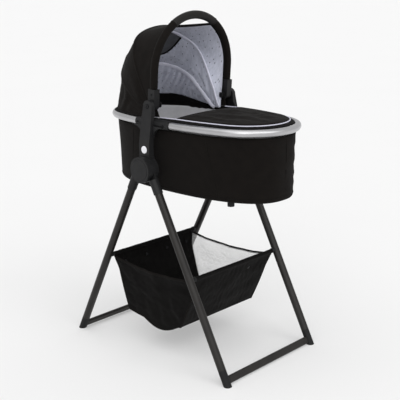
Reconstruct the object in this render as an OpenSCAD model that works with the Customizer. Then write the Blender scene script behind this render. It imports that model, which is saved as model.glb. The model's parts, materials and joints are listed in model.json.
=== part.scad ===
// Carrycot bassinet on a folding A-frame stand.
// +Z is up, +X points to the foot end, -X to the hood end. The floor is Z = 0.

/* [Stand] */
// Height of the hub pivot above the floor
hub_z = 764; // [700:1:800]
// Hub pivot's place along the length of the cot
hub_x = -28; // [-35:1:-15]
// How far each foot stands out from the hub
foot_reach = 412; // [380:1:440]
// How far each leg's axis passes from the hub's centre
leg_offset = 25; // [22:1:30]
// Width of a leg across the stand
leg_w = 32; // [28:1:34]
// Thickness of a leg
leg_t = 28; // [24:1:30]
// Wall of the leg and crossbar tubes
tube_wall = 1.5; // [1:0.1:2]
// Radius of the hub discs
hub_r = 50; // [45:1:55]
// Distance of the foot frame's legs from the middle plane
foot_leg_y = 255; // [250:1:256]
// Distance of the head frame's legs from the middle plane
head_leg_y = 260; // [258:1:264]
// Thickness of one hub disc
disc_t = 27; // [24:0.5:27]
// Distance from the middle plane to the inner discs' inner faces
inner_disc_y = 230; // [230:1:236]

/* [Carrycot] */
// Half length of the rim at the tube's centre
rim_a = 415; // [405:1:420]
// Half width of the rim at the tube's centre
rim_b = 213; // [210:1:214]
// Radius of the rim's end arcs
rim_end_r = 187; // [180:1:190]
// Rim tube's radius
rim_r = 14; // [12:0.5:14]
// Height of the rim tube's centre
rim_z = 935; // [925:1:940]
// Middle of the carrycot along its length
cot_x = 35; // [30:1:40]
// Height of the underside of the tub
tub_z = 673; // [665:1:685]
// Thickness of the mattress
mattress_t = 40; // [30:1:50]

/* [Hood and handle] */
// Height of the hood pivot
pivot_z = 1000; // [995:1:1005]
// Radius of the handle's half circle at the tube's centre
arch_r = 203; // [201:1:204]
// Straight part of the handle above the pivot
arch_leg = 125; // [120:1:130]
// Lean of the handle towards the foot end
arch_lean = 4; // [2:0.5:5]
// Handle tube's radius
handle_r = 13; // [11:0.5:13]
// Angle of the upper bow from vertical
bow_a_angle = 29; // [26:1:32]
// Reach of the upper bow from the pivot
bow_a_reach = 316; // [310:1:322]
// Angle of the lower bow from vertical
bow_b_angle = 65; // [62:1:67]
// Reach of the lower bow from the pivot
bow_b_reach = 326; // [320:1:335]
// Angle of the hood's rear hem from vertical
hem_angle = 98; // [96:0.5:98]

/* [Basket] */
// Height of the basket rods
rod_z = 370; // [360:1:380]
// Radius of the basket rods
rod_r = 6; // [5:0.5:6.5]
// Height of the basket's floor
basket_z = 128; // [120:1:140]

/* [Hidden] */
$fn = 64;
gap = 0.1;
run = 0.05;
outer_disc_y = inner_disc_y + disc_t + 0.6;
socket_y = inner_disc_y + disc_t / 2;
leg_len = sqrt(foot_reach * foot_reach + pow(hub_z - 15, 2) - leg_offset * leg_offset);
leg_angle = atan(foot_reach / (hub_z - 15)) - asin(leg_offset / norm([foot_reach, hub_z - 15]));
cap_len = 46;
pad_t = 3;
bar_w = 30;
bar_t = 15;
bar_up = 4;
sleeve_top = 52;
sleeve_end = 108;
leg_top = 72;
pin_r = 8;
fold_r = 41;
fold_depth = 10;
adaptor_w = 54;
button_r = 14.5;
button_z = 839;
hood_pin_r = 6;
shell_y = 188.5;
shell_t = 2;
bow_t = 3;
bow_w = 14;
bow_a_y = 184;
bow_b_y = 172;
grip_half = 32;
grip_r = 15.2;
rod_drop = (hub_z - rod_z) / cos(leg_angle) + leg_offset * tan(leg_angle);
rod_x = foot_reach - (rod_z - 15) * tan(leg_angle);
basket_half = 218;
bracket_len = 12;
cloth_t = 2.5;
hem_drop = 11;
popper_r = 6;
popper_drop = 42;
sleeve_r = rod_r + 0.3;
tower_h = 51;
clamp_len = 182;
clamp_shift = 8;
clamp_t = 3.6;
web_r = 48;
web_top = rim_z - 6;
web_y = [228, 238];
side_r = (pow(rim_a - rim_end_r, 2) + rim_b * rim_b - rim_end_r * rim_end_r) / (2 * (rim_b - rim_end_r));
end_c = rim_a - rim_end_r;
side_c = side_r - rim_b;
side_angle = atan(end_c / side_c);
part_angle = 0.005;
tub_top = rim_z - rim_r - clamp_t - 1.2;

// ---- shapes used by several sub-parts ----

// Flat oval with its long side along Y
module oval(w, t) {
  square([t, w - t], center = true);
  translate([0, (w - t) / 2]) circle(d = t);
  translate([0, (t - w) / 2]) circle(d = t);
}

module oval_tube(w, t, len) {
  linear_extrude(len) difference() {
    oval(w, t);
    oval(w - 2 * tube_wall, t - 2 * tube_wall);
  }
}

// Places a shape on a leg: -Z runs down the leg from the hub, side is 1 at the foot end
module on_leg(side, y) {
  translate([hub_x, y, hub_z]) rotate([0, -side * leg_angle, 0])
    translate([side * leg_offset, 0, 0]) children();
}

// Cylinder along Y between two distances from the middle plane
module y_rod(r, y0, y1) {
  translate([0, y0, 0]) rotate([-90, 0, 0]) cylinder(r = r, h = y1 - y0);
}

// Shows a shape built on the +Y side on side s
module on_side(s) {
  if (s > 0) children();
  else mirror([0, 1, 0]) children();
}

// Half ring standing across the cot, with straight legs down to the pivot line
module hoop(radius, leg, low, half_t, half_w) {
  translate([0, 0, leg]) rotate([90, 0, 90]) rotate_extrude(angle = 180)
    translate([radius, 0]) square([2 * half_t, 2 * half_w], center = true);
  for (s = [-1, 1])
    translate([-half_w, s * radius - half_t, low]) cube([2 * half_w, 2 * half_t, leg - low]);
}

// Turns a shape about the hood pivot, a positive angle leans it to the head end
module about_pivot(angle) {
  translate([hub_x, 0, pivot_z]) rotate([0, -angle, 0]) children();
}

// ---- stand ----

module leg(side, y) {
  on_leg(side, y) translate([0, 0, -leg_len + cap_len])
    oval_tube(leg_w, leg_t, leg_len - cap_len - leg_top);
}

// Lower ends of a frame's two legs between two heights, with the stubs for the crossbar
module corners(side, y, low, high) {
  intersection() {
    for (s = [-1, 1]) on_side(s) {
      on_leg(side, y) translate([0, 0, -leg_len - 40])
        linear_extrude(40 + cap_len) oval(leg_w, leg_t);
      on_leg(side, y) translate([0, 0, bar_up - leg_len]) rotate([90, 0, 0])
        linear_extrude(leg_w / 2 + 2) oval(bar_w, bar_t);
    }
    translate([-600, -400, low]) cube([1200, 800, high - low]);
  }
}

module crossbar(side, y) {
  half = y - leg_w / 2 - 2;
  on_leg(side, 0) translate([0, half, bar_up - leg_len]) rotate([90, 0, 0])
    oval_tube(bar_w, bar_t, 2 * half);
}

// Half of a hub: the disc, and a neck down to the sleeve that holds the leg
module hub_half(side, y, disc_y) {
  translate([hub_x, 0, hub_z]) y_rod(hub_r, disc_y, disc_y + disc_t);
  intersection() {
    on_leg(side, y) translate([0, 0, -sleeve_top - 4])
      linear_extrude(sleeve_top + 4) oval(leg_w + 5, leg_t + 5);
    translate([hub_x - 100, disc_y, hub_z - 100]) cube([200, disc_t, 200]);
  }
  on_leg(side, y) translate([0, 0, -sleeve_end])
    linear_extrude(sleeve_end - sleeve_top) oval(leg_w + 5, leg_t + 5);
}

module leg_socket(side, y) {
  on_leg(side, y) translate([0, 0, -sleeve_end - 1])
    linear_extrude(sleeve_end - leg_top + 1 + gap) oval(leg_w + 2 * gap, leg_t + 2 * gap);
}

module inner_hub() {
  difference() {
    union() {
      hub_half(1, foot_leg_y, inner_disc_y);
      translate([hub_x - adaptor_w / 2 - 1, inner_disc_y, hub_z + 20])
        cube([adaptor_w + 2, disc_t, tower_h - 20]);
    }
    leg_socket(1, foot_leg_y);
    translate([hub_x, 0, hub_z]) y_rod(pin_r + run, 0, 400);
    translate([hub_x - 16 - gap, socket_y - 7 - gap, hub_z + 22])
      cube([32 + 2 * gap, 14 + 2 * gap, 40]);
  }
}

module outer_hub() {
  difference() {
    hub_half(-1, head_leg_y, outer_disc_y);
    leg_socket(-1, head_leg_y);
    translate([hub_x, 0, hub_z]) {
      y_rod(pin_r, 0, 400);
      y_rod(fold_r + 0.3, outer_disc_y + disc_t - fold_depth, 400);
    }
  }
}

module fold_button() {
  translate([hub_x, 0, hub_z])
    y_rod(fold_r, outer_disc_y + disc_t - fold_depth + 4.5, outer_disc_y + disc_t + 1);
}

module hub_pin() {
  translate([hub_x, 0, hub_z])
    y_rod(pin_r, inner_disc_y + 1, outer_disc_y + disc_t - fold_depth);
}

module basket_rod(side, y) {
  half = y - leg_w / 2 - bracket_len / 2;
  on_leg(side, 0) translate([0, 0, -rod_drop]) y_rod(rod_r, -half, half);
}

// Plastic boss on the leg's inner face that holds the end of a basket rod
module rod_bracket(side, y) {
  on_leg(side, 0) translate([0, 0, -rod_drop]) difference() {
    y_rod(rod_r + 4, y - leg_w / 2 - bracket_len, y - leg_w / 2 + 4);
    y_rod(rod_r, y - 400, y - leg_w / 2 - bracket_len / 2);
    translate([0, y, -40]) linear_extrude(80) oval(leg_w, leg_t);
  }
}

// ---- basket ----

// How far each end panel leans in from its rod to the floor
function lean_in(side) = side > 0 ? 96 : 64;
function panel_h() = rod_z - sleeve_r - basket_z - 12;
// Outer face of an end panel at a height
function panel_x(side, z) = hub_x + side * (rod_x - lean_in(side) * (rod_z - sleeve_r - z) / panel_h());

module panel_plate(side, low, high, half) {
  translate([0, half, 0]) rotate([90, 0, 0]) linear_extrude(2 * half)
    polygon([
      [panel_x(side, high), high], [panel_x(side, high) - side * cloth_t, high],
      [panel_x(side, low) - side * cloth_t, low], [panel_x(side, low), low]
    ]);
}

// End panel of the basket, hung from its rod by a sewn sleeve
module basket_panel(side) {
  half = basket_half - 4;
  difference() {
    union() {
      translate([hub_x + side * rod_x, 0, rod_z]) y_rod(sleeve_r + cloth_t, -half, half);
      panel_plate(side, rod_z - hem_drop, rod_z - sleeve_r, half);
      panel_plate(side, basket_z + 12, rod_z - hem_drop, basket_half);
    }
    translate([hub_x + side * rod_x, 0, rod_z]) y_rod(sleeve_r, -400, 400);
  }
}

module basket_floor() {
  x0 = panel_x(-1, basket_z + 12);
  x1 = panel_x(1, basket_z + 12);
  translate([x0, -basket_half, basket_z]) cube([x1 - x0, 2 * basket_half, cloth_t]);
}

module basket_side() {
  x0 = panel_x(-1, rod_z - 14);
  x1 = panel_x(1, rod_z - 14);
  low = basket_z + 12;
  translate([0, basket_half + 2 * cloth_t, 0]) rotate([90, 0, 0]) linear_extrude(cloth_t)
    polygon([
      [x0, rod_z - 14], [(x0 + x1) / 2, rod_z - 28], [x1, rod_z - 14],
      [panel_x(1, low), low], [panel_x(1, low) - 8, basket_z],
      [panel_x(-1, low) + 8, basket_z], [panel_x(-1, low), low]
    ]);
}

// Snap fasteners in a row under the rod, on the face that looks to the foot end
module poppers(side, count, margin) {
  z = rod_z - popper_drop;
  x = panel_x(side, z) + (side < 0 ? cloth_t : 0);
  tilt = atan(lean_in(side) / panel_h());
  span = 2 * (basket_half - margin);
  for (i = [0 : count - 1])
    translate([x, span * (i / (count - 1) - 0.5), z])
      rotate([0, 90 + side * tilt, 0]) translate([0, 0, 0.05]) cylinder(r = popper_r, h = 2);
}

// ---- carrycot ----

// Stretch of tube that follows one arc of the rim
module rim_arc(centre, start, sweep, radius, r_out, r_in) {
  translate([cot_x, 0, rim_z]) translate(centre) rotate([0, 0, start])
    rotate_extrude(angle = sweep, $fn = 72) translate([radius, 0]) difference() {
      circle(r = r_out, $fn = 24);
      circle(r = r_in, $fn = 24);
    }
}

// Four tangent arcs, parted by a hair at the end arcs' ends
module rim_tube() {
  for (s = [0, 1]) {
    rim_arc([(1 - 2 * s) * end_c, 0, 0], 180 * s - 90 + side_angle + part_angle,
      180 - 2 * side_angle - 2 * part_angle, rim_end_r, rim_r, rim_r - tube_wall);
    rim_arc([0, (2 * s - 1) * side_c, 0], 180 * s + 90 - side_angle, 2 * side_angle,
      side_r, rim_r, rim_r - tube_wall);
  }
}

// Distance of the rim's centre line from the middle plane
function rim_y(x) = sqrt(side_r * side_r - pow(x - cot_x, 2)) - side_c;

// Superellipse outline of the tub at height z
function tub_ring(a, b, z, steps = 56) = [
  for (i = [0 : steps - 1])
    let (t = 360 * i / steps, c = cos(t), s = sin(t))
      [cot_x + a * sign(c) * pow(abs(c), 0.8), b * sign(s) * pow(abs(s), 0.8), z]
];

// Solid lofted through rings of equal point count, open rings closed by flat ends
module loft(rings) {
  n = len(rings[0]);
  m = len(rings);
  points = [for (r = rings) for (p = r) p];
  sides = [
    for (j = [0 : m - 2]) for (i = [0 : n - 1])
      let (k = (i + 1) % n) [j * n + i, (j + 1) * n + i, (j + 1) * n + k, j * n + k]
  ];
  polyhedron(points = points, faces = concat(sides,
    [[for (i = [0 : n - 1]) i]], [[for (i = [n - 1 : -1 : 0]) (m - 1) * n + i]]), convexity = 6);
}

// Walls of the tub, thinner towards the base
module tub_wall() {
  difference() {
    loft([tub_ring(396, 180, tub_z), tub_ring(406, 190, tub_z + 16), tub_ring(408, 206, tub_top)]);
    loft([tub_ring(390, 174, tub_z - 1), tub_ring(401, 185, tub_z + 18),
      tub_ring(403, 201, tub_top + 1)]);
  }
}

module base_board() {
  loft([tub_ring(387, 171, tub_z), tub_ring(388, 172, tub_z + 6)]);
}

module base_feet() {
  for (x = [-260, 260]) for (y = [-128, 128])
    translate([cot_x + x, y, tub_z - 21]) cylinder(r1 = 13, r2 = 14, h = 21);
}

module liner() {
  difference() {
    loft([tub_ring(388, 172, tub_z + 7), tub_ring(392, 190, rim_z - 2)]);
    loft([tub_ring(385, 169, tub_z + 10), tub_ring(389, 187, rim_z)]);
  }
}

module mattress() {
  translate([0, 0, tub_z + 11]) {
    loft([tub_ring(368, 155, 0), tub_ring(376, 163, 8),
      tub_ring(376, 163, mattress_t - 8), tub_ring(368, 155, mattress_t)]);
  }
}

module apron() {
  intersection() {
    loft([tub_ring(393, 191, rim_z), tub_ring(396, 194, rim_z + 8),
      tub_ring(340, 150, rim_z + 26)]);
    translate([70, -300, rim_z]) cube([400, 600, 60]);
  }
}

// Upright that hangs the carrycot on the stand, with its clamp round the rim tube
module adaptor() {
  bottom = hub_z + tower_h + 0.3;
  difference() {
    union() {
      intersection() {
        translate([hub_x - adaptor_w / 2, 0, 0]) rotate([90, 0, 90]) linear_extrude(adaptor_w)
          polygon([
            [257, bottom], [257, 862], [235, pivot_z], [235, pivot_z + 26], [219, pivot_z + 26],
            [219, rim_z + 36], [228, rim_z + 20], [228, rim_z - 20], [233, rim_z - 34],
            [233, bottom]
          ]);
        translate([hub_x, 300, 0]) rotate([90, 0, 0]) linear_extrude(100) {
            translate([-adaptor_w / 2, bottom]) square([adaptor_w, 138]);
            polygon([
              [-adaptor_w / 2, bottom + 138], [adaptor_w / 2, bottom + 138],
              [23, pivot_z], [-23, pivot_z]
            ]);
            translate([0, pivot_z]) circle(r = 23);
          }
      }
      rim_clamp();
      for (s = [-1, 1]) clamp_web(s);
      translate([hub_x - 16, socket_y - 7, hub_z + 22.5]) cube([32, 14, 32]);
    }
    translate([hub_x, 0, button_z]) y_rod(button_r + 0.3, 243, 300);
    translate([hub_x, 0, pivot_z]) y_rod(hood_pin_r, 200, 300);
    translate([hub_x, 0, pivot_z]) y_rod(9, 229, 300);
  }
}

// Sleeve on the rim tube, following the rim's curve
module rim_clamp() {
  half = clamp_len / 2 / side_r * 180 / PI;
  shift = (cot_x - hub_x - clamp_shift) / side_r * 180 / PI;
  rim_arc([0, -side_c, 0], 90 + shift - half, 2 * half, side_r, rim_r + clamp_t, rim_r + 0.1);
}

// Curved gusset between the upright's edge and the clamp
module clamp_web(s) {
  edge = adaptor_w / 2;
  translate([hub_x, web_y[1], web_top - web_r]) rotate([90, 0, 0]) linear_extrude(web_y[1] - web_y[0])
    difference() {
      translate([s > 0 ? edge - 1 : -edge - web_r, 0]) square([web_r + 1, web_r]);
      translate([s * (edge + web_r), -4]) circle(r = web_r);
    }
}

module release_button() {
  translate([hub_x, 0, button_z]) y_rod(button_r, 248, 258.5);
}

module rim_rivets() {
  for (s = [-1, 1]) for (x = [hub_x - 70, hub_x + 74])
    on_side(s) translate([x, 0, rim_z])
      y_rod(4, rim_y(x) + rim_r + clamp_t + 0.6, rim_y(x) + rim_r + clamp_t + 2.4);
}

module hood_pin() {
  translate([hub_x, 0, pivot_z]) {
    y_rod(hood_pin_r, bow_b_y - 4, 229);
    y_rod(8.5, 229, 233);
  }
}

// ---- handle and hood ----

module handle_tube() {
  about_pivot(-arch_lean) {
    translate([0, 0, arch_leg]) rotate([90, 0, 90]) rotate_extrude(angle = 180)
      translate([arch_r, 0]) difference() {
        circle(r = handle_r, $fn = 32);
        circle(r = handle_r - tube_wall, $fn = 32);
      }
    for (s = [-1, 1]) translate([0, s * arch_r, 42]) difference() {
      cylinder(r = handle_r, h = arch_leg - 42, $fn = 32);
      translate([0, 0, -1]) cylinder(r = handle_r - tube_wall, h = arch_leg, $fn = 32);
    }
  }
}

module handle_grip() {
  about_pivot(-arch_lean) translate([0, 0, arch_leg]) rotate([90, 0, 90])
    rotate([0, 0, 90 - grip_half]) rotate_extrude(angle = 2 * grip_half)
      translate([arch_r, 0]) difference() {
        circle(r = grip_r, $fn = 32);
        circle(r = handle_r + 0.1, $fn = 32);
      }
}

// Plastic end of the handle that turns on the hood pin
module handle_block() {
  about_pivot(-arch_lean) difference() {
    union() {
      translate([-17, arch_r - 14, 0]) cube([34, 28, 62]);
      y_rod(17, arch_r - 14, arch_r + 14);
    }
    y_rod(hood_pin_r + run, 0, 300);
    translate([0, arch_r, 41.9]) cylinder(r = handle_r + 0.1, h = 60, $fn = 32);
  }
}

module bow(y, reach, angle) {
  about_pivot(angle) difference() {
    union() {
      hoop(y, reach - y, 4, bow_t / 2, bow_w / 2);
      for (s = [-1, 1]) y_rod(11, s * y - bow_t / 2, s * y + bow_t / 2);
    }
    y_rod(hood_pin_r + run, -300, 300);
  }
}

// Section across the hood, d inside its outer face: straight sides, round corners, flat top
module hood_outline(reach, corner, d) {
  half = shell_y - d;
  r = corner - d;
  translate([-half, 0]) square([2 * half, reach - corner]);
  if (half > r) translate([r - half, 0]) square([2 * (half - r), reach - d]);
  for (s = [-1, 1]) translate([s * (half - r), reach - corner]) circle(r = r);
}

module hood_skin(reach, corner) {
  intersection() {
    difference() {
      hood_outline(reach, corner, 0);
      translate([0, -1]) square([2 * (shell_y - shell_t), 4], center = true);
      hood_outline(reach, corner, shell_t);
    }
    translate([-300, 60]) square([600, 400]);
  }
}

// Hood panel swept about the pivot between two angles
module swept_panel(reach, from, to) {
  about_pivot(from) rotate([0, -90, 0]) rotate([90, 0, 0]) rotate_extrude(angle = to - from)
    rotate(-90) hood_skin(reach, shell_y);
}

module hood_front_panel() {
  top = 287;
  back = bow_a_angle - 2;
  intersection() {
    translate([hub_x - 260, 0, pivot_z]) rotate([90, 0, 90]) linear_extrude(300)
      hood_skin(top, 120);
    translate([hub_x, 300, pivot_z]) rotate([90, 0, 0]) linear_extrude(600)
      polygon([[0, 0], [0, 420], [-420 * tan(back), 420]]);
  }
}

color("#33312f") leg(1, -foot_leg_y);  // foot_leg_near
color("#33312f") leg(1, foot_leg_y);  // foot_leg_far
color("#33312f") crossbar(1, foot_leg_y);  // foot_crossbar
color("#2c2c2d") corners(1, foot_leg_y, pad_t, 200);  // foot_corner_caps
color("#1b1b1b") corners(1, foot_leg_y, 0, pad_t);  // foot_floor_pads
color("#29292a") on_side(-1) inner_hub();  // inner_hub_near
color("#29292a") inner_hub();  // inner_hub_far
color("#33312f") basket_rod(1, foot_leg_y);  // foot_basket_rod
color("#29292a")  // foot_rod_brackets
  for (s = [-1, 1]) on_side(s) rod_bracket(1, foot_leg_y);
color("#33312f") leg(-1, -head_leg_y);  // head_leg_near
color("#33312f") leg(-1, head_leg_y);  // head_leg_far
color("#33312f") crossbar(-1, head_leg_y);  // head_crossbar
color("#2c2c2d") corners(-1, head_leg_y, pad_t, 200);  // head_corner_caps
color("#1b1b1b") corners(-1, head_leg_y, 0, pad_t);  // head_floor_pads
color("#29292a") on_side(-1) outer_hub();  // outer_hub_near
color("#29292a") outer_hub();  // outer_hub_far
color("#8a8a8c") for (s = [-1, 1]) on_side(s) hub_pin();  // hub_pins
color("#33312f") basket_rod(-1, head_leg_y);  // head_basket_rod
color("#29292a")  // head_rod_brackets
  for (s = [-1, 1]) on_side(s) rod_bracket(-1, head_leg_y);
color("#242425") on_side(-1) fold_button();  // fold_button_near
color("#242425") fold_button();  // fold_button_far
color("#1a1816") basket_panel(1);  // basket_foot_panel
color("#1a1816") basket_panel(-1);  // basket_head_panel
color("#1a1816") basket_floor();
color("#d8d8d8")  // basket_sides
  for (s = [-1, 1]) on_side(s) basket_side();
color("#3a3a3a") poppers(1, 5, 22);  // foot_poppers
color("#3a3a3a") poppers(-1, 4, 40);  // head_poppers
color("#b4b4b4") rim_tube();
color("#1a1816") tub_wall();
color("#202020") base_board();
color("#202020") base_feet();
color("#9c9c9e") liner();
color("#dcdcdc") mattress();
color("#1a1816") apron();
color("#2a2a2a") on_side(-1) adaptor();  // adaptor_near
color("#2a2a2a") adaptor();  // adaptor_far
color("#e8e8ee") on_side(-1) release_button();  // release_button_near
color("#e8e8ee") release_button();  // release_button_far
color("#1c1c1c") rim_rivets();
color("#1c1c1c") for (s = [-1, 1]) on_side(s) hood_pin();  // hood_pins
color("#262424") handle_tube();
color("#1e1c1b") handle_grip();
color("#2a2a2a") on_side(-1) handle_block();  // handle_block_near
color("#2a2a2a") handle_block();  // handle_block_far
color("#303030") bow(bow_a_y, bow_a_reach, bow_a_angle);  // upper_bow
color("#303030") bow(bow_b_y, bow_b_reach, bow_b_angle);  // lower_bow
color("#1a1816") hood_front_panel();
color("#1a1816")  // hood_middle_panel
  swept_panel(334, bow_a_angle + 2, bow_b_angle - 2);
color("#1a1816")  // hood_rear_panel
  swept_panel(352, bow_b_angle + 2, hem_angle);
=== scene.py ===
import json
import math

import bmesh
import bpy
from mathutils import Matrix, Vector, noise

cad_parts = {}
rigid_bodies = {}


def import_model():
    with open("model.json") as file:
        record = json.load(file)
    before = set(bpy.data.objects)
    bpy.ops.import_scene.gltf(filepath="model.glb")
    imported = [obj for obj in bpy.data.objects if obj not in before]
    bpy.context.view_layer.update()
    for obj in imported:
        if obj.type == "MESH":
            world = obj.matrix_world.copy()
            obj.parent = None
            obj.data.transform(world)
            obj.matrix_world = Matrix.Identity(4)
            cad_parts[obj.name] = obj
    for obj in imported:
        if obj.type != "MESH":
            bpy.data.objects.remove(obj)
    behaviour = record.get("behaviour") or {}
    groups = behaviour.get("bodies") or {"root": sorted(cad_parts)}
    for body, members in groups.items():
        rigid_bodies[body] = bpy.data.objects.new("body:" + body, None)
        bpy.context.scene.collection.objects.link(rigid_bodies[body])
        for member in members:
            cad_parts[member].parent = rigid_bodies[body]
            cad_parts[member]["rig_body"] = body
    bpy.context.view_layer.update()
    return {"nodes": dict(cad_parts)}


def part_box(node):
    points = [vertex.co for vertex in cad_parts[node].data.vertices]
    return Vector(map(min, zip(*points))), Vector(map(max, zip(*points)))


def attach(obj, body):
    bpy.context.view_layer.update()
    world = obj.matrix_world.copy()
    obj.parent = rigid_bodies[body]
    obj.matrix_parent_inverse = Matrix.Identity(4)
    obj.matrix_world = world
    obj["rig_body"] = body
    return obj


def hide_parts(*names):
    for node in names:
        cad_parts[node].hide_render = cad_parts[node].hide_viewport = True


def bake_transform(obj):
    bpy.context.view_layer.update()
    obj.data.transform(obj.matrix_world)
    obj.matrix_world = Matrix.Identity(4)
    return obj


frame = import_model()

# ---- sizes, in metres, worked out from the frame ----

MM = 0.001


def middle(node):
    """Centre of a node's box."""
    low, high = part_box(node)
    return (low + high) / 2


def size(node):
    low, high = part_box(node)
    return high - low


PIVOT = Vector((middle("hood_pins").x, 0, middle("hood_pins").z))
RIM_R = size("rim_tube").z / 2
RIM_Z = middle("rim_tube").z
COT_X = middle("rim_tube").x
RIM_A = size("rim_tube").x / 2 - RIM_R
RIM_B = size("rim_tube").y / 2 - RIM_R
RIM_END_R = 187 * MM
END_C = RIM_A - RIM_END_R
SIDE_R = (END_C ** 2 + RIM_B ** 2 - RIM_END_R ** 2) / (2 * (RIM_B - RIM_END_R))
SIDE_C = SIDE_R - RIM_B
SIDE_TURN = math.atan(END_C / SIDE_C)
RIM_TOP = RIM_Z + RIM_R

TUB_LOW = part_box("tub_wall")[0].z
TUB_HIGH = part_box("tub_wall")[1].z
TUB_A = size("tub_wall").x / 2
TUB_B = size("tub_wall").y / 2
TUB_POWER = 2.5

TUBE_R = 13 * MM
ARCH_R = size("handle_tube").y / 2 - TUBE_R
ARCH_LEAN = math.radians(4)
ARCH_LEG = 125 * MM
BLOCK_TOP = 62 * MM
GRIP_HALF = math.radians(32)
GRIP_R = 15.2 * MM

ROD_Z = middle("foot_basket_rod").z
FOOT_ROD_X = middle("foot_basket_rod").x
HEAD_ROD_X = middle("head_basket_rod").x
BASKET_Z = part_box("basket_floor")[0].z
FLOOR_X0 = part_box("basket_floor")[0].x
FLOOR_X1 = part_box("basket_floor")[1].x

CLOTH = 1.6 * MM
SAME_POINT = 0.01 * MM
SLEEVE_SEAM_IN = 15.6 * MM
TUNNEL_R_MM = 8.1
TUNNEL_STITCH = 0.213
PIN_CAP_Y = 235.2 * MM
SCREW_UP = 42 * MM
LINER_A = 387 * MM
LINER_LOW_B = 171 * MM
APRON_MID_X = 240 * MM
QUILT_TURNS = 42


# ---- camera and stage ----

def link(obj):
    bpy.context.scene.collection.objects.link(obj)
    return obj


def aim_camera():
    data = bpy.data.cameras.new("camera")
    data.lens = 78
    data.sensor_width = 36
    data.shift_x = -0.082
    data.shift_y = 0.029
    camera = link(bpy.data.objects.new("camera", data))
    camera.location = (2.3478, -2.4268, 1.5055)
    camera.rotation_euler = (math.radians(90 - 15.84), 0, math.radians(41.64))
    bpy.context.scene.camera = camera


def add_sun(name, strength, spread, azimuth, height):
    """Wide soft light from a compass direction and a height, all in degrees."""
    data = bpy.data.lights.new(name, "SUN")
    data.energy = strength
    data.angle = math.radians(spread)
    sun = link(bpy.data.objects.new(name, data))
    sun.rotation_euler = (math.radians(90 - height), 0, math.radians(azimuth))


def light_studio():
    world = bpy.data.worlds.new("studio")
    world.use_nodes = True
    world.node_tree.nodes["Background"].inputs["Color"].default_value = (1, 1, 1, 1)
    world.node_tree.nodes["Background"].inputs["Strength"].default_value = 0.7
    bpy.context.scene.world = world
    bpy.context.scene.view_settings.view_transform = "Standard"
    add_sun("top_softbox", 0.8, 70, 15, 72)
    add_sun("front_softbox", 0.75, 40, 35, 32)
    add_sun("foot_softbox", 0.75, 40, 88, 34)


def lay_floor():
    bpy.ops.mesh.primitive_plane_add(size=240)
    floor = bpy.context.object
    floor.name = "studio_floor"
    floor.data.materials.append(studio_paper())


# ---- materials ----

WAVE_REPEAT = math.tau / 20


def scale_of(mm):
    """Noise or Voronoi scale whose grains are about this many millimetres."""
    return 1 / (mm * MM)


def wave_scale(mm):
    """Wave texture scale whose bands repeat after this many millimetres."""
    return WAVE_REPEAT / (mm * MM)


def linear(hex_code):
    """Linear colour of an sRGB hex value."""
    parts = [int(hex_code[i:i + 2], 16) / 255 for i in (1, 3, 5)]
    return [c / 12.92 if c <= 0.04045 else ((c + 0.055) / 1.055) ** 2.4 for c in parts] + [1]


def add(tree, kind, inputs=None, **settings):
    """Adds a node with its settings. An input that is given as a socket is linked."""
    made = tree.nodes.new(kind)
    for key, value in settings.items():
        setattr(made, key, value)
    for key, value in (inputs or {}).items():
        if isinstance(value, bpy.types.NodeSocket):
            tree.links.new(value, made.inputs[key])
        else:
            made.inputs[key].default_value = value
    return made


def start(name, **surface):
    """New material with the constant values on its shader; gives the material, its tree and the shader."""
    material = bpy.data.materials.new(name)
    material.use_nodes = True
    shader = material.node_tree.nodes["Principled BSDF"]
    for key, value in surface.items():
        shader.inputs[key.replace("_", " ")].default_value = value
    return material, material.node_tree, shader


def place(tree, space="Object"):
    return add(tree, "ShaderNodeTexCoord").outputs[space]


def speckle(tree, spot, mm, detail=2.0, roughness=0.5):
    """Noise whose grains are some millimetres wide."""
    made = add(tree, "ShaderNodeTexNoise",
               {"Vector": spot, "Scale": scale_of(mm), "Detail": detail, "Roughness": roughness})
    return made.outputs["Fac"]


def two_tone(tree, factor, dark, light, low=0.0, high=1.0):
    """Colour between two hex values, as the factor goes from low to high."""
    ramp = add(tree, "ShaderNodeValToRGB", {"Fac": factor})
    ramp.color_ramp.elements[0].position = low
    ramp.color_ramp.elements[1].position = high
    ramp.color_ramp.elements[0].color = linear(dark)
    ramp.color_ramp.elements[1].color = linear(light)
    return ramp.outputs["Color"]


def span(tree, factor, low, high):
    """Value between low and high, as the factor goes from 0 to 1."""
    return add(tree, "ShaderNodeMapRange",
               {"Value": factor, "To Min": low, "To Max": high}).outputs["Result"]


def coat(tree, shader, colour, rough):
    """Gives the shader its colour and its roughness."""
    tree.links.new(colour, shader.inputs["Base Color"])
    tree.links.new(rough, shader.inputs["Roughness"])


def relief(tree, shader, height, depth_mm, strength, under=None):
    """Bump of a depth in millimetres on the shader, over another bump if there is one."""
    inputs = {"Height": height, "Distance": depth_mm * MM, "Strength": strength}
    if under:
        inputs["Normal"] = under
    bump = add(tree, "ShaderNodeBump", inputs).outputs["Normal"]
    tree.links.new(bump, shader.inputs["Normal"])
    return bump


def mix(tree, factor, a, b, **settings):
    """Mixes two colours; an input may be a socket or a hex value."""
    made = add(tree, "ShaderNodeMix", data_type="RGBA", **settings)
    for index, value in ((0, factor), (6, a), (7, b)):
        if isinstance(value, bpy.types.NodeSocket):
            tree.links.new(value, made.inputs[index])
        else:
            made.inputs[index].default_value = linear(value) if isinstance(value, str) else value
    return made.outputs[2]


def calc(tree, operation, a, b=0.0, clamp=False):
    """Maths on two values or sockets."""
    return add(tree, "ShaderNodeMath", {0: a, 1: b}, operation=operation, use_clamp=clamp).outputs[0]


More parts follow.
